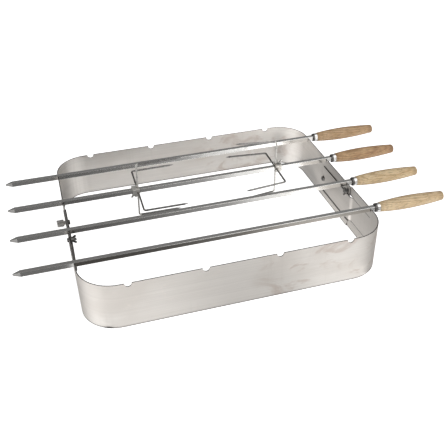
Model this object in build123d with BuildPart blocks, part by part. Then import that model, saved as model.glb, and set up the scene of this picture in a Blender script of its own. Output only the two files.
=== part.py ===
from build123d import *
from math import atan, cos, degrees, radians, sin
import os

# Rotisserie spit roaster: a two-piece steel ring carrying four wooden-handled spits.
# Frame: millimetres, +X along the spits towards the handles, +Y to the back, +Z up.
# The origin is the bottom centre of the whole roaster's bounding box.

os.makedirs("parts", exist_ok=True)

# ---------------------------------------------------------------- driving dimensions
RING_LENGTH = 600.0       # outer size along X
RING_DEPTH = 490.0        # outer size along Y with the ring closed
RING_HEIGHT = 100.0
CORNER_RADIUS = 69.0      # outer radius of the four rounded corners
SHEET = 2.0               # sheet thickness
SHEET_GAP = 0.15          # running gap between overlapping sheets

SPIT_LENGTH = 875.0       # tip to handle end
TIP_X = -SPIT_LENGTH / 2
HANDLE_END_X = SPIT_LENGTH / 2
RING_X = TIP_X + 409.3    # centre of the ring along X
SPIT_Z = 99.1             # height of the spit axes
SPIT_Y = [165.4, 57.8, -49.9, -157.6]    # rear spit first
WALL_NOTCH_X = [-215.2, -71.7, 71.7, 215.2]    # long-wall notches, from the ring's centre

BAR_SIDE = 9.6            # square bar, lying flat in its notches
BAR_CORNER_RADIUS = 0.9
POINT_LENGTH = 14.0
POINT_SIDE = 3.2          # blunt end of the point
NOTCH_RADIUS = 6.6        # just clears the bar's corners, so the bar can turn
NOTCH_LIP_RADIUS = 0.8

# Overlap of the two bands on each short wall
REAR_ARM_END_Y = -70.5    # the rear band's arms reach forward to here
TONGUE_END_Y = 61.0       # the front band's middle tongues reach back to here
TONGUE_ROOT_Y = -162.0
TONGUE_BEND_Y = -88.0     # the tongue leaves the wall here
TONGUE_BENT_Y = -76.0     # the tongue has stepped fully inwards by here
TONGUE_LOW_Z = 22.0
TONGUE_HIGH_Z = 79.5
SLIT = 0.6                # width of the two slits that free the tongue
FINGER_END_Y = 40.0       # end of the strips above and below the tongue
FINGER_TOP_Z = 91.0       # the upper strip is cut down to clear the spit notches
RING_TRAVEL = 80.0        # how far the rear band pulls out

CLAMP_Y, CLAMP_Z = 55.0, 50.0        # large thumb nut through the tongue
CLAMP_RADIUS = 3.0
LOCK_Y, LOCK_Z = -62.0, 86.0         # wing nut through the upper strip
LOCK_RADIUS = 2.5
FASTENER_GAP = 0.1        # clearance beside a piece that turns or slides
THREAD_GAP = 0.05

FERRULE_X = RING_X + 308.5
FERRULE_LENGTH = 10.5
FERRULE_RADIUS = 9.3
FERRULE_WALL = 0.9
FERRULE_FACE = 1.6        # thickness of the closed front
FERRULE_ROUND = 1.4
HANDLE_X = FERRULE_X + FERRULE_LENGTH
SPIGOT_LENGTH = 6.0
TANG_RADIUS = 2.95
TANG_LENGTH = 60.0
TANG_END_ROOM = 0.5       # space left beyond the tang in the handle

PRONG_LENGTH = 95.0
PRONG_RADIUS = 2.0
PRONG_GAP = 0.02          # between a prong's root and the hole it is fixed in
PRONG_BEND = 4.5
PRONG_POINT = 10.0
PRONG_TAPER = 10.2        # degrees, leaves a tip about 0.4 mm across
HUB_SIDE = 17.0           # square tube that slides on the bar
HUB_CORNER = 1.0
HUB_HOLE = 12.0
HUB_HOLE_CORNER = 0.4
HUB_FRONT = 2.6           # hub end ahead of the prongs' cross
HUB_LENGTH = 15.0
PRONG_ROOT = 6.3          # where a prong starts inside the tube wall
SCREW_RADIUS = 2.4
SCREW_BACK = 9.0          # screw axis behind the prongs' cross
SCREW_TIP_GAP = 0.1
COLLAR_GAP = 1.0          # between the hub and the screw's collar

# Derived sheet planes on a short wall, as distances from the ring's centre
WALL_X = RING_LENGTH / 2
ARM_X = WALL_X - SHEET - SHEET_GAP            # outer face of the rear band's arm
TONGUE_X = ARM_X - SHEET - SHEET_GAP          # outer face of the bent-in tongue
TONGUE_INNER_X = TONGUE_X - SHEET
ARM_INNER_X = ARM_X - SHEET


def save(part, name):
    """Label a finished piece and write its STEP file."""
    part.label = name
    export_step(part, f"parts/{name}.step")


def cross_plane(distance):
    """A plane square to X, at a distance from the ring's centre; local x is Y, local y is Z."""
    return Plane.YZ.offset(RING_X + distance)


# ---------------------------------------------------------------- notch outline
with BuildSketch() as notch:
    with Locations((0, SPIT_Z - RING_HEIGHT)):
        Circle(NOTCH_RADIUS)
    with Locations((0, 2 * NOTCH_RADIUS)):
        Rectangle(6 * NOTCH_RADIUS, 4 * NOTCH_RADIUS)
    lips = notch.vertices().filter_by_position(Axis.X, -NOTCH_RADIUS, NOTCH_RADIUS)
    fillet(lips.filter_by_position(Axis.Y, -1, 1), NOTCH_LIP_RADIUS)


def cut_wall_notches(plane):
    """Cut the row of four notches into a long wall."""
    with BuildSketch(plane) as row:
        with Locations(*[(RING_X + x, RING_HEIGHT) for x in WALL_NOTCH_X]):
            add(notch.sketch)
    extrude(row.sketch, amount=2 * SHEET, both=True, mode=Mode.SUBTRACT)


def cut_side_notches(positions):
    """Cut spit notches through both short walls at the given Y positions."""
    with BuildSketch(cross_plane(0)) as row:
        with Locations(*[(y, RING_HEIGHT) for y in positions]):
            add(notch.sketch)
    extrude(row.sketch, amount=RING_LENGTH, both=True, mode=Mode.SUBTRACT)


# ---------------------------------------------------------------- front band
with BuildPart() as front_band:
    with BuildSketch():
        with Locations((RING_X, 0)):
            RectangleRounded(RING_LENGTH, RING_DEPTH, CORNER_RADIUS)
            RectangleRounded(
                RING_LENGTH - 2 * SHEET,
                RING_DEPTH - 2 * SHEET,
                CORNER_RADIUS - SHEET,
                mode=Mode.SUBTRACT,
            )
        with Locations((RING_X, FINGER_END_Y)):
            Rectangle(RING_LENGTH, RING_DEPTH, align=(Align.CENTER, Align.MIN), mode=Mode.SUBTRACT)
    extrude(amount=RING_HEIGHT)

    # window that the tongue is bent out of, slits included
    with BuildSketch(cross_plane(0)):
        with Locations((TONGUE_ROOT_Y, TONGUE_LOW_Z - SLIT / 2)):
            Rectangle(
                RING_DEPTH,
                TONGUE_HIGH_Z - TONGUE_LOW_Z + SLIT,
                align=(Align.MIN, Align.MIN),
            )
        with Locations((REAR_ARM_END_Y, FINGER_TOP_Z)):
            Rectangle(RING_DEPTH, RING_HEIGHT, align=(Align.MIN, Align.MIN))
    extrude(amount=RING_LENGTH, both=True, mode=Mode.SUBTRACT)

    # tongues: each one leaves the wall, steps inwards in two arcs and runs straight back
    step = WALL_X - TONGUE_X
    run = TONGUE_BENT_Y - TONGUE_BEND_Y
    turn = 2 * degrees(atan(step / run))
    bend_radius = run / 2 / sin(radians(turn))
    for side in (1, -1):
        wall_middle = RING_X + side * (WALL_X - SHEET / 2)
        tongue_middle = RING_X + side * (TONGUE_X - SHEET / 2)
        with BuildSketch(Plane.XY.offset(TONGUE_LOW_Z + SLIT / 2)):
            with BuildLine():
                root = Line((wall_middle, TONGUE_ROOT_Y - SHEET), (wall_middle, TONGUE_BEND_Y))
                first = JernArc(root @ 1, root % 1, bend_radius, side * turn)
                second = JernArc(first @ 1, first % 1, bend_radius, -side * turn)
                Line(second @ 1, (tongue_middle, TONGUE_END_Y))
            trace(line_width=SHEET)
        extrude(amount=TONGUE_HIGH_Z - TONGUE_LOW_Z - SLIT)

    cut_wall_notches(Plane.XZ.offset(RING_DEPTH / 2 - SHEET / 2))
    cut_side_notches(SPIT_Y[3:])

    # slot for the lock bolts in the upper strips, hole for the clamp bolts in the tongues
    with BuildSketch(cross_plane(0)):
        with Locations((LOCK_Y + RING_TRAVEL / 2, LOCK_Z)):
            SlotCenterToCenter(RING_TRAVEL, 2 * (LOCK_RADIUS + FASTENER_GAP))
        with Locations((CLAMP_Y, CLAMP_Z)):
            Circle(CLAMP_RADIUS + THREAD_GAP)
    extrude(amount=RING_LENGTH, both=True, mode=Mode.SUBTRACT)

save(front_band.part, "front_band")

# ---------------------------------------------------------------- rear band
with BuildPart() as rear_band:
    with BuildSketch():
        with Locations((RING_X, 0)):
            RectangleRounded(2 * ARM_X, RING_DEPTH, CORNER_RADIUS - SHEET)
            RectangleRounded(
                2 * ARM_INNER_X,
                RING_DEPTH - 2 * SHEET,
                CORNER_RADIUS - 2 * SHEET,
                mode=Mode.SUBTRACT,
            )
        with Locations((RING_X, REAR_ARM_END_Y)):
            Rectangle(RING_LENGTH, RING_DEPTH, align=(Align.CENTER, Align.MAX), mode=Mode.SUBTRACT)
    extrude(amount=RING_HEIGHT)

    cut_wall_notches(Plane.XZ.offset(SHEET / 2 - RING_DEPTH / 2))
    cut_side_notches(SPIT_Y[:3])

    with BuildSketch(cross_plane(0)):
        with Locations((CLAMP_Y - RING_TRAVEL / 2, CLAMP_Z)):
            SlotCenterToCenter(RING_TRAVEL, 2 * (CLAMP_RADIUS + FASTENER_GAP))
        with Locations((LOCK_Y, LOCK_Z)):
            Circle(LOCK_RADIUS + THREAD_GAP)
    extrude(amount=RING_LENGTH, both=True, mode=Mode.SUBTRACT)

save(rear_band.part, "rear_band")


# ---------------------------------------------------------------- ring fasteners
def side_plane(side, distance, y, z, outward):
    """A plane on one short wall's fastener axis, facing away from or towards the ring's middle."""
    direction = side if outward else -side
    return Plane(origin=(RING_X + side * distance, y, z), x_dir=(0, 0, 1), z_dir=(direction, 0, 0))


def make_bolt(seat, across_flats, head_height, radius, length):
    """A hexagon-head bolt: the head stands behind the seat plane, the shank in front of it."""
    with BuildPart() as bolt:
        with BuildSketch(seat):
            RegularPolygon(across_flats / 2, 6, major_radius=False)
        extrude(amount=-head_height)
        crown = bolt.faces().sort_by(Axis(seat.origin, seat.z_dir))[0]
        chamfer(crown.edges(), head_height / 8)
        with BuildSketch(seat):
            Circle(radius)
        extrude(amount=length)
        shank_end = bolt.faces().sort_by(Axis(seat.origin, seat.z_dir))[-1]
        chamfer(shank_end.edges(), radius / 6)
    return bolt.part


def add_wings(plane, base_radius, tip_radius, height, thickness):
    """Two upright ears on a turned hub, in the plane's own X-Z plane."""
    ear_radius = height / 5
    foot_inset = 0.55
    upright = Plane(origin=plane.origin, x_dir=plane.x_dir, z_dir=-plane.y_dir)
    for end in (1, -1):
        with BuildSketch(upright) as ear:
            tip = (end * (tip_radius - ear_radius), height - ear_radius)
            foot = (end * base_radius * foot_inset, ear_radius + FASTENER_GAP)
            with Locations(tip, foot):
                Circle(ear_radius)
            make_hull()
        extrude(ear.sketch, amount=thickness / 2, both=True)


def make_wing_nut(seat):
    """A pressed wing nut whose hub stands on the seat plane."""
    hub_radius, hub_height, hub_taper = 5.0, 6.0, 12
    wing_tip_radius, wing_height, wing_thickness = 9.5, 10.5, 2.0
    with BuildPart() as nut:
        with BuildSketch(seat):
            Circle(hub_radius)
        extrude(amount=hub_height, taper=hub_taper)
        add_wings(seat, hub_radius, wing_tip_radius, wing_height, wing_thickness)
        with BuildSketch(seat):
            Circle(LOCK_RADIUS + THREAD_GAP)
        extrude(amount=3 * hub_height, mode=Mode.SUBTRACT)
    return nut.part


def make_clamp_knob(seat):
    """A fluted thumb nut on a narrow boss."""
    boss_radius, boss_height = 4.2, 4.5
    knob_radius, knob_height = 7.5, 15.0
    flutes, flute_radius = 24, 0.55
    rim_chamfer, blind_end = 1.0, 3.0
    barrel = seat.offset(boss_height)
    with BuildPart() as knob:
        with BuildSketch(seat):
            Circle(boss_radius)
        extrude(amount=boss_height)
        with BuildSketch(barrel):
            Circle(knob_radius)
        extrude(amount=knob_height)
        rims = knob.edges().filter_by(GeomType.CIRCLE).sort_by(SortBy.RADIUS)[-2:]
        chamfer(rims, rim_chamfer)
        with BuildSketch(barrel):
            with PolarLocations(knob_radius, flutes):
                Circle(flute_radius)
        extrude(amount=knob_height, mode=Mode.SUBTRACT)
        with BuildSketch(seat):
            Circle(CLAMP_RADIUS + THREAD_GAP)
        extrude(amount=boss_height + knob_height - blind_end, mode=Mode.SUBTRACT)
    return knob.part


CLAMP_FLATS, CLAMP_HEAD, CLAMP_SHANK = 10.0, 4.0, 20.0
LOCK_FLATS, LOCK_HEAD, LOCK_SHANK = 8.0, 3.5, 15.0
for side, hand in ((-1, "left"), (1, "right")):
    clamp_seat = side_plane(side, TONGUE_INNER_X, CLAMP_Y, CLAMP_Z, True)
    clamp_bolt = make_bolt(clamp_seat, CLAMP_FLATS, CLAMP_HEAD, CLAMP_RADIUS, CLAMP_SHANK)
    save(clamp_bolt, f"clamp_bolt_{hand}")

    knob_seat = side_plane(side, ARM_X + FASTENER_GAP, CLAMP_Y, CLAMP_Z, True)
    save(make_clamp_knob(knob_seat), f"clamp_knob_{hand}")

    lock_seat = side_plane(side, WALL_X + FASTENER_GAP, LOCK_Y, LOCK_Z, False)
    lock_bolt = make_bolt(lock_seat, LOCK_FLATS, LOCK_HEAD, LOCK_RADIUS, LOCK_SHANK)
    save(lock_bolt, f"lock_bolt_{hand}")

    wing_seat = side_plane(side, ARM_INNER_X - FASTENER_GAP, LOCK_Y, LOCK_Z, False)
    save(make_wing_nut(wing_seat), f"wing_nut_{hand}")


# ---------------------------------------------------------------- spits
def spit_plane(index, x):
    """A plane square to one spit's axis; local x points to the back and local y up."""
    return Plane(origin=(x, SPIT_Y[index], SPIT_Z), x_dir=(0, 1, 0), z_dir=(1, 0, 0))


def make_bar(index):
    """Square bar with a blunt four-sided point and a round tang."""
    bar_end = FERRULE_X + FERRULE_LENGTH - SPIGOT_LENGTH
    with BuildPart() as bar:
        with BuildSketch(spit_plane(index, TIP_X)):
            RectangleRounded(POINT_SIDE, POINT_SIDE, BAR_CORNER_RADIUS)
        with BuildSketch(spit_plane(index, TIP_X + POINT_LENGTH)):
            RectangleRounded(BAR_SIDE, BAR_SIDE, BAR_CORNER_RADIUS)
        loft()
        with BuildSketch(spit_plane(index, TIP_X + POINT_LENGTH)):
            RectangleRounded(BAR_SIDE, BAR_SIDE, BAR_CORNER_RADIUS)
        extrude(amount=bar_end - TIP_X - POINT_LENGTH)
        with BuildSketch(spit_plane(index, bar_end)):
            Circle(TANG_RADIUS)
        extrude(amount=TANG_LENGTH)
    return bar.part


def make_ferrule(index):
    """Steel cap that closes the front of the handle, square-holed for the bar."""
    front = spit_plane(index, FERRULE_X)
    with BuildPart() as ferrule:
        with BuildSketch(front):
            Circle(FERRULE_RADIUS)
        extrude(amount=FERRULE_LENGTH)
        rims = ferrule.edges().filter_by(GeomType.CIRCLE).group_by(Axis.X)
        fillet(rims[0], FERRULE_ROUND)
        with BuildSketch(front.offset(FERRULE_FACE)):
            Circle(FERRULE_RADIUS - FERRULE_WALL)
        extrude(amount=FERRULE_LENGTH, mode=Mode.SUBTRACT)
        with BuildSketch(front):
            Rectangle(BAR_SIDE + 2 * THREAD_GAP, BAR_SIDE + 2 * THREAD_GAP)
        extrude(amount=FERRULE_LENGTH, mode=Mode.SUBTRACT)
    return ferrule.part


def make_handle(index):
    """Turned barrel handle with a spigot for the ferrule and a blind hole for the tang."""
    length = HANDLE_END_X - HANDLE_X
    spigot_radius = FERRULE_RADIUS - FERRULE_WALL - THREAD_GAP
    shoulder_radius, swell_radius, waist_radius, end_radius = 9.9, 13.8, 12.3, 9.7
    cap = 4.0
    profile_plane = Plane(
        origin=(HANDLE_X, SPIT_Y[index], SPIT_Z), x_dir=(1, 0, 0), z_dir=(0, -1, 0)
    )
    with BuildPart() as handle:
        with BuildSketch(profile_plane):
            with BuildLine():
                side = Spline(
                    (0, shoulder_radius),
                    (0.45 * length, swell_radius),
                    (0.75 * length, waist_radius),
                    (length - cap, end_radius),
                )
                nose = EllipticalCenterArc((length - cap, 0), cap, end_radius, arc_size=90)
                Polyline(
                    nose @ 0,
                    (-SPIGOT_LENGTH, 0),
                    (-SPIGOT_LENGTH, spigot_radius),
                    (0, spigot_radius),
                    side @ 0,
                )
            make_face()
        revolve(axis=Axis((HANDLE_X, SPIT_Y[index], SPIT_Z), (1, 0, 0)))
        with BuildSketch(spit_plane(index, HANDLE_X - SPIGOT_LENGTH)):
            Circle(TANG_RADIUS + THREAD_GAP)
        extrude(amount=TANG_LENGTH + TANG_END_ROOM, mode=Mode.SUBTRACT)
    return handle.part


for spit in range(4):
    save(make_bar(spit), f"spit_bar_{spit + 1}")
    save(make_ferrule(spit), f"spit_ferrule_{spit + 1}")
    save(make_handle(spit), f"spit_handle_{spit + 1}")

# ---------------------------------------------------------------- meat forks on the second spit
FORK_SPIT = 1


class Fork:
    """Where one fork sits: its loose hub is drawn against the bar by the thumb screw."""

    def __init__(self, hand, cross_x, facing, reach, roll, screw_angle, slack, splay):
        self.hand = hand
        self.cross_x = cross_x            # plane of the prongs' cross
        self.facing = facing              # +1 if the prongs point along +X
        self.reach = reach                # hub centre to prong
        self.roll = roll                  # degrees about the spit
        self.screw_angle = screw_angle    # 90 is the upper face, 270 the lower one
        self.slack = slack                # hub centre from the spit's axis, towards the screw
        self.splay = splay                # degrees the prongs lean outwards

    def radial(self, angle):
        """Unit vector away from the hub's middle; 0 points to the back, 90 up."""
        total = radians(self.roll + angle)
        return Vector(0, cos(total), sin(total))

    def centre(self, x):
        """The hub's middle at a place along the spit."""
        return Vector(x, SPIT_Y[FORK_SPIT], SPIT_Z) + self.radial(self.screw_angle) * self.slack

    def screw_centre(self):
        return self.centre(self.cross_x - self.facing * SCREW_BACK)

    def screw_end(self):
        """Distance from the hub's middle to the screw's tip, just off the bar's face."""
        tilt = radians(self.roll)
        bar_reach = (BAR_SIDE / 2 + SCREW_RADIUS * sin(tilt)) / cos(tilt)
        return bar_reach - self.slack + SCREW_TIP_GAP


def make_hub(fork):
    """Short square tube on the bar, drilled for four prongs and a thumb screw."""
    front_x = fork.cross_x + fork.facing * HUB_FRONT
    end = Plane(origin=fork.centre(front_x), x_dir=fork.radial(0), z_dir=(-fork.facing, 0, 0))
    with BuildPart() as hub:
        with BuildSketch(end):
            RectangleRounded(HUB_SIDE, HUB_SIDE, HUB_CORNER)
            RectangleRounded(HUB_HOLE, HUB_HOLE, HUB_HOLE_CORNER, mode=Mode.SUBTRACT)
        extrude(amount=HUB_LENGTH)
        for angle in (0, 90, 180, 270):
            outward = fork.radial(angle)
            root = fork.centre(fork.cross_x) + outward * PRONG_ROOT
            with BuildSketch(Plane(root, z_dir=outward)):
                Circle(PRONG_RADIUS + PRONG_GAP)
            extrude(amount=HUB_SIDE, mode=Mode.SUBTRACT)
        screw_axis = fork.radial(fork.screw_angle)
        with BuildSketch(Plane(fork.screw_centre(), z_dir=screw_axis)):
            Circle(SCREW_RADIUS + THREAD_GAP)
        extrude(amount=HUB_SIDE, mode=Mode.SUBTRACT)
    return hub.part


def make_prong(fork, angle):
    """Round rod bent square to the bar and then along it, ground to a point."""
    outward = fork.radial(angle)
    along = Vector(fork.facing, 0, 0)
    middle = fork.centre(fork.cross_x)
    lean = radians(fork.splay)
    straight = PRONG_LENGTH - PRONG_POINT
    with BuildPart() as prong:
        with BuildLine(Plane(origin=middle, x_dir=outward, z_dir=outward.cross(along))) as path:
            FilletPolyline(
                (PRONG_ROOT, 0),
                (fork.reach, 0),
                (fork.reach + straight * sin(lean), straight * cos(lean)),
                radius=PRONG_BEND,
            )
        with BuildSketch(Plane(middle + outward * PRONG_ROOT, z_dir=outward)):
            Circle(PRONG_RADIUS)
        sweep()
        wire = path.wire()
        with BuildSketch(Plane(wire @ 1, z_dir=wire % 1)):
            Circle(PRONG_RADIUS)
        extrude(amount=PRONG_POINT, taper=PRONG_TAPER)
    return prong.part


def make_thumb_screw(fork):
    """Winged screw whose shank ends on the bar; its wings swing clear of the nearest prong."""
    collar_radius, collar_height, collar_taper = 3.6, 3.0, 8
    wing_tip_radius, wing_height, wing_thickness = 6.2, 8.0, 2.0
    axis = fork.radial(fork.screw_angle)
    middle = fork.screw_centre()
    collar_start = HUB_SIDE / 2 + COLLAR_GAP
    seat = Plane(origin=middle + axis * collar_start, x_dir=(1, 0, 0), z_dir=axis)
    with BuildPart() as screw:
        with BuildSketch(Plane(origin=middle + axis * fork.screw_end(), z_dir=axis)):
            Circle(SCREW_RADIUS)
        extrude(amount=collar_start - fork.screw_end() + collar_height / 2)
        with BuildSketch(seat):
            Circle(collar_radius)
        extrude(amount=collar_height, taper=collar_taper)
        add_wings(seat, collar_radius, wing_tip_radius, wing_height, wing_thickness)
    return screw.part


FORKS = [
    Fork(
        "left", RING_X - 139.5, 1, reach=68.5, roll=7.5, screw_angle=270, slack=0.65, splay=0.5
    ),
    Fork(
        "right", RING_X + 173.6, -1, reach=64.0, roll=1.5, screw_angle=90, slack=1.0, splay=6.0
    ),
]
for fork in FORKS:
    save(make_hub(fork), f"fork_{fork.hand}_hub")
    save(make_thumb_screw(fork), f"fork_{fork.hand}_screw")
    for prong_angle, place in ((0, "back"), (90, "top"), (180, "front"), (270, "bottom")):
        save(make_prong(fork, prong_angle), f"fork_{fork.hand}_prong_{place}")
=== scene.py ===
import math

import bpy
from mathutils import Matrix, Vector


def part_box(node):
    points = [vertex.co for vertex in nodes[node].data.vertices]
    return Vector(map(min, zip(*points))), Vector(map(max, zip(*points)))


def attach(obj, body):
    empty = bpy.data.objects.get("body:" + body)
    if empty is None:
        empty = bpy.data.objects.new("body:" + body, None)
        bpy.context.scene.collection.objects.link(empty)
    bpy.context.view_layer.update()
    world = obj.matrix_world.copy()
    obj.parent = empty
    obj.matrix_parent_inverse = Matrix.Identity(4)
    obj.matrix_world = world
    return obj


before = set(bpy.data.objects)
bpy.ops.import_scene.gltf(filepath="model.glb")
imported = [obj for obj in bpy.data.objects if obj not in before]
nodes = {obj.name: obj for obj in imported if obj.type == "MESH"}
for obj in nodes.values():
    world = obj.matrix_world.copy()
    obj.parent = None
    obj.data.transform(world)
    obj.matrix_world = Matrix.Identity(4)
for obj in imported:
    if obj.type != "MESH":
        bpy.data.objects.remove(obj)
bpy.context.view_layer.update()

MM = 0.001

# ---------------------------------------------------------------- places taken from the frame
HANDS = ("left", "right")
PRONGS = ("back", "top", "front", "bottom")
PRONG_RADIUS = 2.0 * MM
SPITS = (1, 2, 3, 4)
ring_low, ring_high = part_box("front_band")
RING_X = (ring_low.x + ring_high.x) / 2


def node_middle(name):
    """The middle of a CAD node's box at rest."""
    low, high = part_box(name)
    return (low + high) / 2


# ---------------------------------------------------------------- shader building
BEVEL_SAMPLES = 6
CROWDING_SAMPLES = 8
# a mix node has sockets for several kinds of value; these are the places of those for colour
MIX_FACTOR, MIX_FIRST, MIX_SECOND = 0, 6, 7
MIX_RESULT = 2


class Graph:
    """A node tree with short calls for the nodes used here."""

    def __init__(self, owner):
        owner.use_nodes = True
        self.tree = owner.node_tree
        self.tree.nodes.clear()

    def node(self, kind, inputs=None, **settings):
        """Add a node; inputs are sockets to link or plain values to set."""
        made = self.tree.nodes.new(kind)
        for key, value in settings.items():
            setattr(made, key, value)
        for key, value in (inputs or {}).items():
            if isinstance(value, bpy.types.NodeSocket):
                self.tree.links.new(value, made.inputs[key])
            else:
                made.inputs[key].default_value = value
        return made

    def math(self, operation, first, second=0.0, third=0.0, clamp=False):
        made = self.node(
            "ShaderNodeMath", {0: first, 1: second, 2: third}, operation=operation, use_clamp=clamp
        )
        return made.outputs[0]

    def product(self, *factors):
        """The product of two or more numbers or sockets."""
        result = factors[0]
        for factor in factors[1:]:
            result = self.math("MULTIPLY", result, factor)
        return result

    def vector(self, operation, first, second=(0.0, 0.0, 0.0)):
        made = self.node("ShaderNodeVectorMath", {0: first, 1: second}, operation=operation)
        return made.outputs["Vector"]

    def split(self, vector):
        """The X, Y and Z of a vector."""
        return self.node("ShaderNodeSeparateXYZ", {0: vector}).outputs

    def place(self):
        """The piece's own coordinates in metres, which turn with its body."""
        return self.node("ShaderNodeTexCoord").outputs["Object"]

    def noise(self, vector, scale, detail=3.0, roughness=0.55, distortion=0.0):
        """Noise from 0 to 1, with its own number of features per metre along each axis."""
        stretched = self.vector("MULTIPLY", vector, scale)
        made = self.node(
            "ShaderNodeTexNoise",
            {
                "Vector": stretched,
                "Scale": 1.0,
                "Detail": detail,
                "Roughness": roughness,
                "Distortion": distortion,
            },
        )
        return made.outputs["Fac"]

    def remap(self, value, low, high, to_low=0.0, to_high=1.0, smooth=False):
        """to_low where the value is low, to_high where it is high; low may be above high."""
        made = self.node(
            "ShaderNodeMapRange",
            {0: value, 1: low, 2: high, 3: to_low, 4: to_high},
            interpolation_type="SMOOTHSTEP" if smooth else "LINEAR",
        )
        return made.outputs[0]

    def mix(self, factor, first, second):
        """The first colour where the factor is 0, and the second where it is 1."""
        inputs = {MIX_FACTOR: factor}
        for place, value in ((MIX_FIRST, first), (MIX_SECOND, second)):
            inputs[place] = (*value, 1.0) if isinstance(value, tuple) else value
        return self.node("ShaderNodeMix", inputs, data_type="RGBA").outputs[MIX_RESULT]

    def ramp(self, value, stops):
        """A colour or grey for each value from 0 to 1, from (place, colour or grey) stops."""
        made = self.node("ShaderNodeValToRGB", {0: value})
        ramp = made.color_ramp
        while len(ramp.elements) < len(stops):
            ramp.elements.new(0.5)
        for element, (position, colour) in zip(ramp.elements, stops):
            red, green, blue = colour if isinstance(colour, tuple) else (colour, colour, colour)
            element.position = position
            element.color = (red, green, blue, 1.0)
        return made.outputs[0]

    def bump(self, height, depth, strength=1.0, normal=None):
        inputs = {"Height": height, "Distance": depth, "Strength": strength}
        if normal is not None:
            inputs["Normal"] = normal
        return self.node("ShaderNodeBump", inputs).outputs[0]

    def soft_edges(self, radius):
        """The surface normal with the sharp edges rounded off."""
        return self.node("ShaderNodeBevel", {"Radius": radius}, samples=BEVEL_SAMPLES).outputs[0]

    def crowded_shade(self, reach, open_share, shut_share, strength):
        """A mask for painted shade: 0 on open faces, up to the strength where other surfaces crowd
        within a reach.
        """
        crowding = self.node(
            "ShaderNodeAmbientOcclusion", {"Distance": reach}, samples=CROWDING_SAMPLES
        )
        clear = crowding.outputs["AO"]
        return self.remap(clear, open_share, shut_share, 0.0, strength, smooth=True)

    def edge_mask(self, radius, gain):
        """0 on faces, up to 1 within a radius of a sharp edge."""
        rounded = self.soft_edges(radius)
        face = self.node("ShaderNodeNewGeometry").outputs["Normal"]
        agree = self.node("ShaderNodeVectorMath", {0: rounded, 1: face}, operation="DOT_PRODUCT")
        apart = self.math("SUBTRACT", 1.0, agree.outputs["Value"])
        return self.math("MULTIPLY", apart, gain, clamp=True)

    def surface(self, **inputs):
        """A principled surface wired to the output; names use _ for a space."""
        given = {key.replace("_", " "): value for key, value in inputs.items()}
        given["Base Color"] = given.pop("Colour")
        if isinstance(given["Base Color"], tuple):
            given["Base Color"] = (*given["Base Color"], 1.0)
        shader = self.node("ShaderNodeBsdfPrincipled", given)
        self.node("ShaderNodeOutputMaterial", {"Surface": shader.outputs[0]})


def new_material(name, build, **options):
    """A material whose nodes are made by a function of this script."""
    material = bpy.data.materials.new(name)
    build(Graph(material), **options)
    return material


# ---------------------------------------------------------------- sheet steel
SHEET_DARK = (0.52, 0.495, 0.465)
SHEET_LIGHT = (0.70, 0.67, 0.634)
CHATTER_TINT = (0.44, 0.41, 0.38)
CLOUD_TINT = (0.55, 0.51, 0.47)
SMEAR_TINT = (0.70, 0.64, 0.59)
BURNT_TINT = (0.42, 0.345, 0.30)
# near-black painted shade, for the sheet's crevices and for the dark lines along the tongues
PAINTED_SHADE_TINT = (0.05, 0.045, 0.042)
# the cut edges' dark colour: partly the darker laser-cut edge, partly a painted dark reflection
CUT_EDGE_OXIDE_AND_REFLECTION_TINT = (0.17, 0.165, 0.16)
WORN_SHEET_TINT = (0.9, 0.89, 0.87)

# the stretch of wall with heat stains, along X: none, full, still full, none again
BURNT_FROM, BURNT_FULL, BURNT_END, BURNT_GONE = -0.02, 0.05, 0.23, 0.27
# how far the painted shade in the sheet's crevices reaches
SHEET_SHADE_REACH = 7.0 * MM
# painted shade lines along each tongue's lower edge and in its two slits: lowest Z, highest Z,
# front Y, back Y
SHADE_LINES = [
    (0.0138, 0.0194, -0.076, 0.061),
    (0.0210, 0.0230, -0.162, -0.074),
    (0.0785, 0.0805, -0.162, -0.080),
]
SHADE_LINE_FADE = 0.8 * MM
SHADE_LINE_STRENGTH = 0.95
ARM_FACE = 0.2985         # from the ring's middle to just outside the short walls' inner faces


def heat_stain(g, here):
    """How burnt the sheet is, from 0 to 0.55; the stains are right of the ring's middle."""
    burnt = g.noise(here, (13, 13, 26), detail=5, roughness=0.62, distortion=1.0)
    share = g.remap(burnt, 0.5, 0.66, 0.0, 0.55, smooth=True)
    x = g.split(here)[0]
    begun = g.remap(x, BURNT_FROM, BURNT_FULL, smooth=True)
    not_over = g.remap(x, BURNT_GONE, BURNT_END, smooth=True)
    return g.product(share, g.product(begun, not_over))


def add_shade_lines(g, here, colour):
    """Paint the dark shade lines on the inner faces of the short walls."""
    x, y, z = g.split(here)
    off_centre = g.math("ABSOLUTE", g.math("SUBTRACT", x, RING_X))
    inside = g.math("LESS_THAN", off_centre, ARM_FACE)
    for low_z, high_z, front_y, back_y in SHADE_LINES:
        # painted shade: a dark line standing in for the shadow in the gap
        line_shade = g.product(
            inside,
            g.remap(z, low_z, low_z + SHADE_LINE_FADE),
            g.remap(z, high_z, high_z - SHADE_LINE_FADE),
            g.remap(y, front_y, front_y + SHADE_LINE_FADE),
            g.remap(y, back_y, back_y - SHADE_LINE_FADE),
        )
        colour = g.mix(g.product(line_shade, SHADE_LINE_STRENGTH), colour, PAINTED_SHADE_TINT)
    return colour


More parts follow.
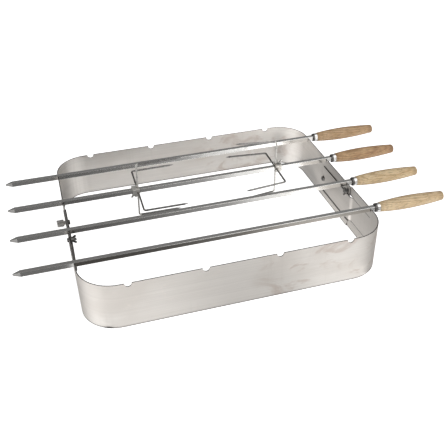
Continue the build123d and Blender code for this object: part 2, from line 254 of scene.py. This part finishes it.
def brushed_sheet(g):
    """Stainless sheet brushed along its length, with smears, painted shade where surfaces crowd
    close, and dull, dark cut edges whose darkness is partly a painted dark reflection.
    """
    here = g.place()
    grain = g.noise(here, (7, 7, 1500), detail=4, roughness=0.65)
    streaks = g.noise(here, (2.2, 2.2, 240), detail=5, roughness=0.6)
    clouds = g.noise(here, (6, 6, 11), detail=4, roughness=0.55, distortion=0.6)
    smears = g.noise(here, (20, 20, 34), detail=5, roughness=0.6, distortion=1.4)
    chatter = g.noise(here, (170, 170, 5), detail=2, roughness=0.5)
    chatter_patches = g.noise(here, (9, 9, 3), detail=1)

    tone = g.math("ADD", g.product(grain, 0.62), g.product(streaks, 0.38))
    colour = g.ramp(g.remap(tone, 0.25, 0.75), [(0.0, SHEET_DARK), (1.0, SHEET_LIGHT)])
    chatter_share = g.product(
        g.remap(chatter, 0.5, 0.66, 0.0, 0.22, smooth=True),
        g.remap(chatter_patches, 0.5, 0.66, smooth=True),
    )
    colour = g.mix(chatter_share, colour, CHATTER_TINT)
    cloud_share = g.remap(clouds, 0.42, 0.68, 0.0, 0.45, smooth=True)
    colour = g.mix(cloud_share, colour, CLOUD_TINT)
    smear_share = g.remap(smears, 0.6, 0.76, 0.0, 0.4, smooth=True)
    colour = g.mix(smear_share, colour, SMEAR_TINT)
    colour = g.mix(heat_stain(g, here), colour, BURNT_TINT)
    # painted shade round the fasteners, in the slits and along the tongues, where other surfaces
    # crowd close
    crevice_shade = g.crowded_shade(SHEET_SHADE_REACH, 0.85, 0.5, strength=0.93)
    colour = g.mix(crevice_shade, colour, PAINTED_SHADE_TINT)
    colour = add_shade_lines(g, here, colour)

    # faces turned up or down are the cut edges; their dark tint is partly the laser-cut edge,
    # partly a painted dark reflection
    face = g.node("ShaderNodeNewGeometry").outputs["True Normal"]
    rise = g.math("ABSOLUTE", g.split(face)[2])
    cut_edge = g.remap(rise, 0.6, 0.9)
    colour = g.mix(cut_edge, colour, CUT_EDGE_OXIDE_AND_REFLECTION_TINT)
    worn = g.product(g.edge_mask(0.6 * MM, 2.5), g.math("SUBTRACT", 1.0, cut_edge), 0.5)
    colour = g.mix(worn, colour, WORN_SHEET_TINT)

    roughness = g.math("ADD", g.remap(tone, 0.25, 0.75, 0.32, 0.46), g.product(cut_edge, 0.2))
    roughness = g.math("ADD", roughness, g.product(cloud_share, 0.12))
    height = g.math("ADD", grain, g.product(streaks, 0.6))
    # brushing along the sheet spreads its reflections up and down
    g.surface(
        Colour=colour,
        Metallic=1.0,
        Roughness=roughness,
        Anisotropic=0.85,
        Tangent=(0.0, 0.0, 1.0),
        Normal=g.bump(height, 0.04 * MM, 0.6, g.soft_edges(0.3 * MM)),
    )


# ---------------------------------------------------------------- bars, rods, caps and castings
RUBBED_BAR_TINT = (0.82, 0.81, 0.79)
# pale, partly matt colour painted on the upright prongs: a painted sheen standing in for their
# bright reflections
UPRIGHT_SHEEN_TINT = (0.80, 0.78, 0.74)
UPRIGHT_SHEEN_HALF = 2.5 * MM       # full effect this close to the stretch's middle
UPRIGHT_SHEEN_REACH = 5.0 * MM      # none beyond this
UPRIGHT_SHEEN_STRENGTH = 0.8
UPRIGHT_SHEEN_METAL_LOSS = 0.8
BAR_EDGE = 0.8 * MM           # how far from an edge the rubbing shows
CAP_DARK = (0.74, 0.73, 0.71)
CAP_LIGHT = (0.86, 0.855, 0.84)
# dark band painted round the ferrule's front end: a painted dark reflection
CAP_DARK_REFLECTION_TINT = (0.09, 0.085, 0.08)
CAP_DARK_REFLECTION_WIDTH = 4.8 * MM
CAP_DARK_REFLECTION_FADE = 1.0 * MM
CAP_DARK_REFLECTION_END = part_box("spit_ferrule_1")[0].x + CAP_DARK_REFLECTION_WIDTH
RUBBED_CAP_TINT = (0.93, 0.92, 0.9)
RUBBED_PLATING_TINT = (0.85, 0.84, 0.82)
# near-black painted shade for the plating's crevices, and how far it reaches
PLATING_SHADE_TINT = (0.05, 0.045, 0.04)
PLATING_SHADE_REACH = 4.0 * MM
SMALL_EDGE = 0.7 * MM


def drawn_steel(g, dark, light, roughness_low, roughness_high, across=900.0, scoured_x=None):
    """Bar or rod with fine lines along X; round an optional X its colour is painted pale and partly
    matt, a painted sheen standing in for bright reflections.
    """
    here = g.place()
    lines = g.noise(here, (9, across, across), detail=4, roughness=0.6)
    mottle = g.noise(here, (45, 60, 60), detail=5, roughness=0.6, distortion=0.8)
    nicks = g.noise(here, (320, 90, 90), detail=3, roughness=0.7)
    tone = g.math("ADD", g.product(lines, 0.5), g.product(mottle, 0.5))
    colour = g.ramp(g.remap(tone, 0.3, 0.7), [(0.0, dark), (1.0, light)])
    colour = g.mix(g.remap(nicks, 0.66, 0.74, 0.0, 0.5), colour, light)
    rubbed = g.product(g.edge_mask(BAR_EDGE, 2.0), 0.6)
    colour = g.mix(rubbed, colour, RUBBED_BAR_TINT)
    metallic = 1.0
    if scoured_x is not None:
        # painted sheen: pale, less metallic colour round the given X
        off = g.math("ABSOLUTE", g.math("SUBTRACT", g.split(here)[0], scoured_x))
        scoured = g.remap(off, UPRIGHT_SHEEN_REACH, UPRIGHT_SHEEN_HALF, 0.0, UPRIGHT_SHEEN_STRENGTH, smooth=True)
        colour = g.mix(scoured, colour, UPRIGHT_SHEEN_TINT)
        metallic = g.math("SUBTRACT", 1.0, g.product(scoured, UPRIGHT_SHEEN_METAL_LOSS))
    height = g.math("ADD", lines, g.product(mottle, 0.5))
    normal = g.bump(height, 0.03 * MM, 0.5, g.soft_edges(0.4 * MM))
    g.surface(
        Colour=colour,
        Metallic=metallic,
        Roughness=g.remap(tone, 0.3, 0.7, roughness_high, roughness_low),
        Anisotropic=0.6,
        Tangent=g.vector("CROSS_PRODUCT", (1.0, 0.0, 0.0), normal),
        Normal=normal,
    )


def polished_cap(g):
    """Polished ferrule with a painted dark reflection at its front, faint turning rings and
    handling marks.
    """
    here = g.place()
    rings = g.noise(here, (2600, 30, 30), detail=2)
    marks = g.noise(here, (160, 220, 220), detail=5, roughness=0.7, distortion=1.2)
    colour = g.ramp(g.remap(marks, 0.3, 0.75), [(0.0, CAP_DARK), (1.0, CAP_LIGHT)])
    rubbed = g.product(g.edge_mask(SMALL_EDGE, 2.0), 0.5)
    colour = g.mix(rubbed, colour, RUBBED_CAP_TINT)
    x = g.split(here)[0]
    # painted dark reflection on the ferrule's front end
    dark_reflection = g.remap(x, CAP_DARK_REFLECTION_END, CAP_DARK_REFLECTION_END - CAP_DARK_REFLECTION_FADE, 0.0, 0.88, smooth=True)
    colour = g.mix(dark_reflection, colour, CAP_DARK_REFLECTION_TINT)
    g.surface(
        Colour=colour,
        Metallic=1.0,
        Roughness=g.remap(marks, 0.35, 0.75, 0.07, 0.2),
        Normal=g.bump(rings, 0.01 * MM, 0.5, g.soft_edges(0.3 * MM)),
    )


def plated_steel(g, dark, light, tint, dull, metallic=1.0):
    """Cast or forged steel with a satin plating, grainy and brighter on its corners."""
    here = g.place()
    cast = g.noise(here, (700, 700, 700), detail=4, roughness=0.65)
    patches = g.noise(here, (130, 130, 130), detail=4, roughness=0.6, distortion=0.9)
    colour = g.ramp(g.remap(cast, 0.3, 0.7), [(0.0, dark), (1.0, light)])
    colour = g.mix(g.remap(patches, 0.52, 0.7, 0.0, 0.55, smooth=True), colour, tint)
    rubbed = g.product(g.edge_mask(SMALL_EDGE, 2.2), 0.75)
    colour = g.mix(rubbed, colour, RUBBED_PLATING_TINT)
    # painted shade: the plating darkens where other surfaces crowd close
    crevice_shade = g.crowded_shade(PLATING_SHADE_REACH, 0.8, 0.35, strength=0.9)
    colour = g.mix(crevice_shade, colour, PLATING_SHADE_TINT)
    g.surface(
        Colour=colour,
        Metallic=metallic,
        Roughness=g.remap(patches, 0.3, 0.7, dull - 0.08, dull + 0.12),
        Normal=g.bump(cast, 0.05 * MM, 0.6, g.soft_edges(0.4 * MM)),
    )


# ---------------------------------------------------------------- wood
HEART_BELOW = 26.0 * MM       # where the tree's heart lies, from the handle's axis
HEART_ASIDE = 12.0 * MM
HEART_LEAN = 0.05             # how far it drifts per metre of handle
HEART_TURN = 1.7              # sets a different lean for each handle
RING_WANDER = 10.0 * MM
RING_SPACING = 2.6 * MM
# the dark ends of a handle, as places along X from its middle: none, full
SHOULDER_STAIN = (-0.062, -0.069)
END_STAIN = (0.058, 0.068)


def darker(colour, share):
    """A colour with each part cut to a share of itself."""
    return tuple(share * part for part in colour)


def turned_wood(g, axis, light, dark, line, seed):
    """Oiled hardwood turned on the X axis: growth rings, fibres and open pores."""
    here = g.place()
    local = g.vector("SUBTRACT", here, tuple(axis))
    x, y, z = g.split(local)
    # the heart lies well below the handle and is slightly out of line with it
    wander = g.noise(local, (9, 40, 40), detail=3, roughness=0.5)
    drift = g.product(g.math("SUBTRACT", wander, 0.5), RING_WANDER)
    lean = g.product(x, HEART_LEAN * math.sin(seed * HEART_TURN))
    heart_y = g.math("ADD", y, HEART_ASIDE * math.cos(seed))
    heart_z = g.math("ADD", g.math("ADD", z, HEART_BELOW), lean)
    squares = g.math("ADD", g.math("POWER", heart_y, 2.0), g.math("POWER", heart_z, 2.0))
    distance = g.math("SQRT", squares)
    ring_phase = g.product(g.math("ADD", distance, drift), 2 * math.pi / RING_SPACING)
    rings = g.math("MULTIPLY_ADD", g.math("SINE", ring_phase), 0.5, 0.5)
    rings = g.math("POWER", rings, 2.2)

    fibres = g.noise(local, (28, 950, 950), detail=4, roughness=0.6)
    streaks = g.noise(local, (14, 420, 420), detail=4, roughness=0.65)
    blotches = g.noise(local, (24, 70, 70), detail=3, roughness=0.5, distortion=0.5)
    pores = g.noise(local, (95, 1300, 1300), detail=2, roughness=0.5)
    pore_share = g.remap(pores, 0.58, 0.68, 0.0, 0.8)

    colour = g.mix(g.remap(blotches, 0.35, 0.65, smooth=True), light, dark)
    colour = g.mix(g.product(rings, 0.62), colour, line)
    colour = g.mix(g.remap(streaks, 0.52, 0.68, 0.0, 0.5, smooth=True), colour, line)
    colour = g.mix(g.remap(fibres, 0.45, 0.75, 0.0, 0.4), colour, line)
    colour = g.mix(pore_share, colour, darker(line, 0.45))
    # painted shade: the wood's colour darkens where it is seen edge-on
    facing = g.node("ShaderNodeLayerWeight", {"Blend": 0.5}).outputs["Facing"]
    edge_on_shade = g.remap(facing, 0.5, 0.92, 0.0, 0.85, smooth=True)
    colour = g.mix(edge_on_shade, colour, darker(line, 0.5))
    # the end grain and the shoulder beside the ferrule take up more oil
    end = g.remap(x, *END_STAIN, smooth=True)
    shoulder = g.remap(x, *SHOULDER_STAIN, smooth=True)
    ends = g.math("MAXIMUM", end, shoulder)
    colour = g.mix(g.product(ends, 0.35), colour, darker(line, 0.6))

    height = g.math("SUBTRACT", g.product(fibres, 0.6), pore_share)
    height = g.math("ADD", height, g.product(rings, 0.25))
    g.surface(
        Colour=colour,
        Roughness=g.math("ADD", 0.42, g.product(fibres, 0.25)),
        Normal=g.bump(height, 0.25 * MM, 0.5),
        Coat_Weight=0.12,
        Coat_Roughness=0.35,
    )


# ---------------------------------------------------------------- materials on the CAD nodes
sheet = new_material("sheet_brushed_steel", brushed_sheet)
bar_steel = new_material(
    "bar_drawn_steel",
    drawn_steel,
    dark=(0.60, 0.59, 0.57),
    light=(0.80, 0.79, 0.77),
    roughness_low=0.12,
    roughness_high=0.24,
)
# shared by the two kinds of fork rod
ROD = dict(
    dark=(0.17, 0.165, 0.16),
    light=(0.38, 0.37, 0.355),
    roughness_low=0.2,
    roughness_high=0.36,
    across=1500.0,
)
rod_steel = new_material("rod_drawn_steel", drawn_steel, **ROD)
cap_steel = new_material("ferrule_polished_steel", polished_cap)
block_steel = new_material(
    "block_plated_steel",
    plated_steel,
    dark=(0.46, 0.45, 0.42),
    light=(0.84, 0.82, 0.78),
    tint=(0.50, 0.42, 0.34),
    dull=0.4,
    metallic=0.6,
)
bolt_steel = new_material(
    "bolt_plated_steel",
    plated_steel,
    dark=(0.08, 0.08, 0.08),
    light=(0.27, 0.27, 0.26),
    tint=(0.15, 0.13, 0.115),
    dull=0.36,
)
knob_metal = new_material(
    "knob_turned_metal",
    plated_steel,
    dark=(0.58, 0.57, 0.55),
    light=(0.82, 0.81, 0.79),
    tint=(0.62, 0.59, 0.56),
    dull=0.42,
)


def paint(name, material):
    """Give a CAD node its material."""
    slots = nodes[name].data.materials
    slots.clear()
    slots.append(material)


for name in ("front_band", "rear_band"):
    paint(name, sheet)

WOOD_SEED = 1.3           # times the spit's number, gives each handle its own grain
# each handle's light wood, dark wood and ring lines, by spit from the back
WOOD = {
    1: ((0.70, 0.49, 0.29), (0.58, 0.38, 0.20), (0.36, 0.20, 0.09)),
    2: ((0.65, 0.43, 0.23), (0.53, 0.32, 0.16), (0.31, 0.16, 0.07)),
    3: ((0.84, 0.67, 0.42), (0.74, 0.55, 0.31), (0.48, 0.30, 0.14)),
    4: ((0.84, 0.67, 0.43), (0.74, 0.56, 0.33), (0.50, 0.32, 0.16)),
}
for spit in SPITS:
    paint(f"spit_bar_{spit}", bar_steel)
    paint(f"spit_ferrule_{spit}", cap_steel)
    light, dark, line = WOOD[spit]
    wood = new_material(
        f"handle_wood_{spit}",
        turned_wood,
        axis=node_middle(f"spit_handle_{spit}"),
        light=light,
        dark=dark,
        line=line,
        seed=WOOD_SEED * spit,
    )
    paint(f"spit_handle_{spit}", wood)

for hand in HANDS:
    paint(f"clamp_bolt_{hand}", bolt_steel)
    paint(f"lock_bolt_{hand}", bolt_steel)
    paint(f"wing_nut_{hand}", bolt_steel)
    paint(f"clamp_knob_{hand}", knob_metal)
    paint(f"fork_{hand}_hub", block_steel)
    paint(f"fork_{hand}_screw", block_steel)
    # the top and bottom prongs get a painted sheen, pale and partly matt, where they stand upright
    # from the hub, standing in for their bright reflections
    top_low, top_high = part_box(f"fork_{hand}_prong_top")
    upright_x = top_low.x + PRONG_RADIUS if hand == "left" else top_high.x - PRONG_RADIUS
    upright = new_material(f"rod_upright_{hand}", drawn_steel, scoured_x=upright_x, **ROD)
    for prong in PRONGS:
        paint(f"fork_{hand}_prong_{prong}", upright if prong in ("top", "bottom") else rod_steel)


# ---------------------------------------------------------------- small pieces beside the CAD
WELD_SIDES = 40
# radius and height in mm: up the bead's outside, then down inside the prong
WELD_PROFILE = [
    (3.2, -0.1), (3.1, 0.3), (2.75, 0.7), (2.35, 1.1), (1.95, 1.6), (1.7, 1.5), (1.7, -0.1),
]
# lumps round a bead: how many, how high as a share of the radius, and a factor on the bead's seed
WELD_LUMPS = [(9, 0.05, 1.0), (14, 0.03, 2.3)]
HUB_HALF = 8.5 * MM
PRONG_ROOT_REACH = 7.0 * MM   # points of a prong this near its hub's middle belong to its root
THREAD_SIDES = 28
THREAD_PITCH = 0.8 * MM
THREAD_DEPTH = 0.22 * MM
THREAD_FROM = 1.0 * MM        # from the wing nut's middle to the ridge's start
THREAD_END = 0.8 * MM         # from the ridge's end to the bolt's end
# the ridge's section: place along the bolt in pitches, and height in depths
THREAD_SECTION = ((-0.4, -0.3), (0.0, 1.0), (0.4, -0.3))
BOLT_RADIUS = 2.5 * MM


def add_piece(name, points, faces, material, body):
    """A smooth-shaded mesh that moves with a CAD body."""
    mesh = bpy.data.meshes.new(name)
    mesh.from_pydata(points, [], faces)
    mesh.shade_smooth()
    mesh.materials.append(material)
    piece = bpy.data.objects.new(name, mesh)
    bpy.context.scene.collection.objects.link(piece)
    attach(piece, body)


def square_frame(axis):
    """Two directions square to an axis and to each other."""
    first = axis.orthogonal().normalized()
    return first, axis.cross(first)


def tube_faces(rows, sides, ring):
    """Quads between neighbouring rows of points; a ring's last row meets its first one."""
    faces = []
    for row in range(rows if ring else rows - 1):
        here, above = row * sides, (row + 1) % rows * sides
        for side in range(sides):
            after = (side + 1) % sides
            faces.append((here + side, here + after, above + after, above + side))
    return faces


def prong_root(prong, hub):
    """The middle of the part of a prong that is next to its hub."""
    near = [
        vertex.co
        for vertex in nodes[prong].data.vertices
        if math.hypot(vertex.co.y - hub.y, vertex.co.z - hub.z) < PRONG_ROOT_REACH
    ]
    return sum(near, Vector()) / len(near)


def weld_bead(hand, prong, seed):
    """A lumpy fillet where a prong enters its hub."""
    hub = node_middle(f"fork_{hand}_hub")
    root = prong_root(f"fork_{hand}_prong_{prong}", hub)
    axis = Vector((0.0, root.y - hub.y, root.z - hub.z)).normalized()
    foot = Vector((root.x, hub.y, hub.z)) + axis * HUB_HALF
    first, second = square_frame(axis)
    points = []
    for radius, height in WELD_PROFILE:
        for side in range(WELD_SIDES):
            angle = 2 * math.pi * side / WELD_SIDES
            lumps = 0.0
            for number, high, turn in WELD_LUMPS:
                lumps += high * math.sin(number * angle + turn * seed)
            reach = radius * MM * (1 + lumps)
            outward = first * math.cos(angle) + second * math.sin(angle)
            points.append(foot + outward * reach + axis * height * MM)
    faces = tube_faces(len(WELD_PROFILE), WELD_SIDES, ring=True)
    add_piece(f"weld_{hand}_{prong}", points, faces, weld_steel, f"fork_{hand}")


def free_thread(hand):
    """The helical ridge on the end of a lock bolt, beyond its wing nut."""
    bolt_low, bolt_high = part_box(f"lock_bolt_{hand}")
    middle = node_middle(f"lock_bolt_{hand}")
    inward = 1.0 if hand == "left" else -1.0
    bolt_end = bolt_high.x if hand == "left" else bolt_low.x
    start = node_middle(f"wing_nut_{hand}").x + inward * THREAD_FROM
    length = abs(bolt_end - start) - THREAD_END
    turns = length / THREAD_PITCH
    rows = int(turns * THREAD_SIDES)
    points = []
    for row in range(rows + 1):
        angle = 2 * math.pi * row / THREAD_SIDES
        along = start + inward * (length * row / rows)
        for offset, height in THREAD_SECTION:
            reach = BOLT_RADIUS + height * THREAD_DEPTH
            x = along + inward * offset * THREAD_PITCH
            y = middle.y + reach * math.cos(angle)
            z = middle.z + reach * math.sin(angle)
            points.append((x, y, z))
    faces = tube_faces(rows + 1, len(THREAD_SECTION), ring=False)
    last = len(THREAD_SECTION) * rows
    # a triangle closes each end
    faces += [(0, 1, 2), (last + 2, last + 1, last)]
    add_piece(f"lock_thread_{hand}", points, faces, bolt_steel, "rear_band")


weld_steel = new_material(
    "weld_steel",
    plated_steel,
    dark=(0.16, 0.15, 0.14),
    light=(0.42, 0.39, 0.35),
    tint=(0.30, 0.22, 0.15),
    dull=0.5,
)
for hand in HANDS:
    free_thread(hand)
    for seed, prong in enumerate(PRONGS, start=1):
        weld_bead(hand, prong, float(seed))


# ---------------------------------------------------------------- separate looks for the camera
WHITE = (1.0, 1.0, 1.0, 1.0)


def camera_or_steel(g, for_camera, for_steel):
    """One shader for what the camera sees directly, and another for everything else."""
    seen = g.node("ShaderNodeLightPath").outputs["Is Camera Ray"]
    both = g.node(
        "ShaderNodeMixShader", {0: seen, 1: for_steel.outputs[0], 2: for_camera.outputs[0]}
    )
    return both.outputs[0]


# ---------------------------------------------------------------- floor
# The camera sees pale paper. What the steel mirrors is cards of different greys lying on it, and
# between them it looks straight through the floor at the studio. Each list goes from left to right,
# as (place along X in metres, brightness). Each zone is lowest X, highest X, lowest Y, highest Y.
# Two lists cover the floor inside the ring: one for faces turned to the front, such as the spits',
# and one for all others.
FRONT_CARDS = [
    (-0.33, 1.3), (-0.2, 1.25), (-0.05, 0.92), (0.06, 0.95), (0.14, 1.35), (0.24, 1.5), (0.29, 0.5),
]
FRONT_ZONE = (-0.34, 0.285, -1.5, -0.243)
INNER_CARDS = [
    (-0.33, 0.2), (-0.29, 0.1), (-0.1, 0.12), (-0.02, 0.3), (0.05, 0.5), (0.15, 0.75), (0.2, 0.65),
    (0.25, 0.4),
]
INNER_ZONE = (-0.325, 0.265, -0.247, 0.07)
BAR_CARDS = [
    (-0.33, 0.13), (-0.2, 0.19), (-0.1, 0.3), (0.0, 0.43), (0.03, 0.65), (0.06, 0.9), (0.1, 1.15),
    (0.15, 1.4), (0.2, 2.2), (0.25, 3.0), (0.3, 3.0),
]
BAR_ZONE = (-0.325, 0.28, -0.247, 0.07)
REAR_ZONE = (-0.42, 0.37, 0.27, 2.5)
REAR_CARD = 0.95
SILL_Y = -0.19            # in front of here every face sees the bars' cards
INNER_SLANT = 0.21        # how far the inner cards lean to the left towards the back
CORNER_CUT = 0.5046       # the ring's round front corners: metres off centre plus metres forward
CARD_SPAN = 1.0           # metres covered by each list, centred on 0
CARD_PEAK = 3.0
CARD_FADE = 15.0 * MM     # width over which a zone fades out
WALL_FADE = 2.0 * MM      # the same at the front wall, at the front corners and behind the ring
PAPER_DARK = 0.86
PAPER_LIGHT = 0.9
FLOOR_GLOW = 0.9
FLOOR_HALF = 6.0
FLOOR_BELOW = 0.2 * MM


def card_row(g, place, cards):
    """The brightness of a list of cards at a place along X, as a share of the peak."""
    stops = [(position / CARD_SPAN + 0.5, level / CARD_PEAK) for position, level in cards]
    return g.ramp(g.math("MULTIPLY_ADD", place, 1 / CARD_SPAN, 0.5), stops)


def zone_share(g, here, zone, front_fade, back_fade):
    """1 inside a zone, fading to 0 at its borders."""
    x, y, _ = g.split(here)
    low_x, high_x, low_y, high_y = zone
    return g.product(
        g.product(g.remap(x, low_x, low_x + CARD_FADE), g.remap(x, high_x, high_x - CARD_FADE)),
        g.product(g.remap(y, low_y, low_y + front_fade), g.remap(y, high_y, high_y - back_fade)),
    )


def floor_cards(g, here):
    """Brightness of the cards as a share of the peak, and how much of the floor they cover."""
    x, y, _ = g.split(here)
    slanted = g.math("MULTIPLY_ADD", y, INNER_SLANT, x)
    # 1 when the floor is mirrored by a face turned to the front
    incoming = g.node("ShaderNodeNewGeometry").outputs["Incoming"]
    front_face = g.math("GREATER_THAN", g.split(incoming)[1], 0.0)
    for_bars = g.math("MAXIMUM", front_face, g.math("LESS_THAN", y, SILL_Y))
    inner = g.mix(for_bars, card_row(g, slanted, INNER_CARDS), card_row(g, slanted, BAR_CARDS))
    in_inner = zone_share(g, here, INNER_ZONE, WALL_FADE, CARD_FADE)
    in_bars = zone_share(g, here, BAR_ZONE, WALL_FADE, CARD_FADE)
    off_centre = g.math("ABSOLUTE", g.math("SUBTRACT", x, RING_X))
    forward = g.math("SUBTRACT", off_centre, y)
    in_corners = g.remap(forward, CORNER_CUT, CORNER_CUT - WALL_FADE)
    inner_share = g.product(g.remap(front_face, 0.0, 1.0, in_inner, in_bars), in_corners)

    in_front = zone_share(g, here, FRONT_ZONE, CARD_FADE, WALL_FADE)
    in_rear = zone_share(g, here, REAR_ZONE, WALL_FADE, CARD_FADE)
    rear = REAR_CARD / CARD_PEAK
    brightness = g.mix(in_front, inner, card_row(g, x, FRONT_CARDS))
    brightness = g.mix(in_rear, brightness, (rear, rear, rear))
    cover = g.math("MAXIMUM", g.math("MAXIMUM", in_front, inner_share), in_rear)
    return brightness, cover


def white_floor(g):
    """White paper for the camera, and the cards for everything that mirrors it."""
    here = g.place()
    fibre = g.noise(here, (300, 300, 300), detail=3)
    paper = g.node(
        "ShaderNodeBsdfPrincipled",
        {
            "Base Color": g.ramp(fibre, [(0.0, PAPER_DARK), (1.0, PAPER_LIGHT)]),
            "Roughness": 0.9,
            "Specular IOR Level": 0.1,
            "Emission Color": WHITE,
            "Emission Strength": FLOOR_GLOW,
        },
    )
    brightness, cover = floor_cards(g, here)
    cards = g.node("ShaderNodeEmission", {"Color": brightness, "Strength": CARD_PEAK})
    clear = g.node("ShaderNodeBsdfTransparent")
    mirrored = g.node("ShaderNodeMixShader", {0: cover, 1: clear.outputs[0], 2: cards.outputs[0]})
    g.node("ShaderNodeOutputMaterial", {"Surface": camera_or_steel(g, paper, mirrored)})


floor_mesh = bpy.data.meshes.new("floor")
floor_mesh.from_pydata(
    [
        (-FLOOR_HALF, -FLOOR_HALF, 0),
        (FLOOR_HALF, -FLOOR_HALF, 0),
        (FLOOR_HALF, FLOOR_HALF, 0),
        (-FLOOR_HALF, FLOOR_HALF, 0),
    ],
    [],
    [(0, 1, 2, 3)],
)
floor = bpy.data.objects.new("floor", floor_mesh)
floor.location.z = -FLOOR_BELOW
bpy.context.scene.collection.objects.link(floor)
floor_mesh.materials.append(new_material("floor_paper", white_floor))

# ---------------------------------------------------------------- studio light
# Brightness of the studio all round, by direction: degrees from the front, positive to the right.
LOW_BAND = [
    (-180, 0.3), (-150, 0.2), (-125, 0.25), (-100, 2.2), (-57, 2.5), (-40, 1.2), (-30, 0.5),
    (-10, 0.25), (0, 0.2), (3, 0.25), (7, 0.6), (10, 1.8), (13, 3.0), (18, 3.5), (22, 3.1),
    (26, 0.5), (36, 0.4), (44, 2.4), (58, 2.2), (70, 0.4), (110, 0.3), (140, 0.35), (180, 0.35),
]
HIGH_BAND = [
    (-180, 0.25), (-110, 0.5), (-70, 0.5), (-40, 0.3), (-10, 0.14), (17, 0.14), (30, 1.8),
    (60, 2.4), (95, 1.6), (130, 0.4), (180, 0.25),
]
WORLD_GAIN = 0.8
TOP_LIGHT = 0.7
# heights above the horizon at which one light turns into the next
TO_HIGH_BAND = (math.radians(18), math.radians(40))
TO_CEILING = (math.radians(66), math.radians(82))


def studio_light(g):
    """Plain white for the camera. The steel sees two rings of panels and a dim ceiling."""
    direction = g.node("ShaderNodeTexCoord").outputs["Generated"]
    x, y, z = g.split(direction)
    turn = g.math("ARCTAN2", x, g.math("MULTIPLY", y, -1.0))
    share = g.math("MULTIPLY_ADD", turn, 0.5 / math.pi, 0.5)
    peak = max(value for band in (LOW_BAND, HIGH_BAND) for _, value in band)

    def band(stops):
        return g.ramp(share, [(0.5 + angle / 360, value / peak) for angle, value in stops])

    rise = g.math("ARCSINE", z)
    light = g.mix(g.remap(rise, *TO_HIGH_BAND, smooth=True), band(LOW_BAND), band(HIGH_BAND))
    top = TOP_LIGHT / peak
    light = g.mix(g.remap(rise, *TO_CEILING, smooth=True), light, (top, top, top))
    panels = g.node("ShaderNodeBackground", {"Color": light, "Strength": peak * WORLD_GAIN})
    plain = g.node("ShaderNodeBackground", {"Color": WHITE, "Strength": 1.0})
    g.node("ShaderNodeOutputWorld", {"Surface": camera_or_steel(g, plain, panels)})


world = bpy.data.worlds.new("studio")
bpy.context.scene.world = world
studio_light(Graph(world))

# ---------------------------------------------------------------- camera
CAMERA_AT = Vector((-0.34154, -1.17857, 0.86642))
CAMERA_AIM = Vector((0.01143, 0.01692, 0.0))
CAMERA_ROLL = -0.01276     # radians, from level
FOCAL_LENGTH = 54.60       # mm
SENSOR_WIDTH = 36.0        # mm
NEAREST_SEEN = 0.01
FARTHEST_SEEN = 50.0

camera_data = bpy.data.cameras.new("camera")
camera_data.lens = FOCAL_LENGTH
camera_data.sensor_width = SENSOR_WIDTH
camera_data.clip_start = NEAREST_SEEN
camera_data.clip_end = FARTHEST_SEEN
camera = bpy.data.objects.new("camera", camera_data)
bpy.context.scene.collection.objects.link(camera)
forward = (CAMERA_AIM - CAMERA_AT).normalized()
level_right = forward.cross(Vector((0, 0, 1))).normalized()
level_up = level_right.cross(forward)
right = level_right * math.cos(CAMERA_ROLL) + level_up * math.sin(CAMERA_ROLL)
up = level_up * math.cos(CAMERA_ROLL) - level_right * math.sin(CAMERA_ROLL)
camera.matrix_world = Matrix(
    (
        (right.x, up.x, -forward.x, CAMERA_AT.x),
        (right.y, up.y, -forward.y, CAMERA_AT.y),
        (right.z, up.z, -forward.z, CAMERA_AT.z),
        (0, 0, 0, 1),
    )
)
bpy.context.scene.camera = camera
bpy.context.scene.view_settings.view_transform = "Standard"
bpy.context.scene.view_settings.look = "None"
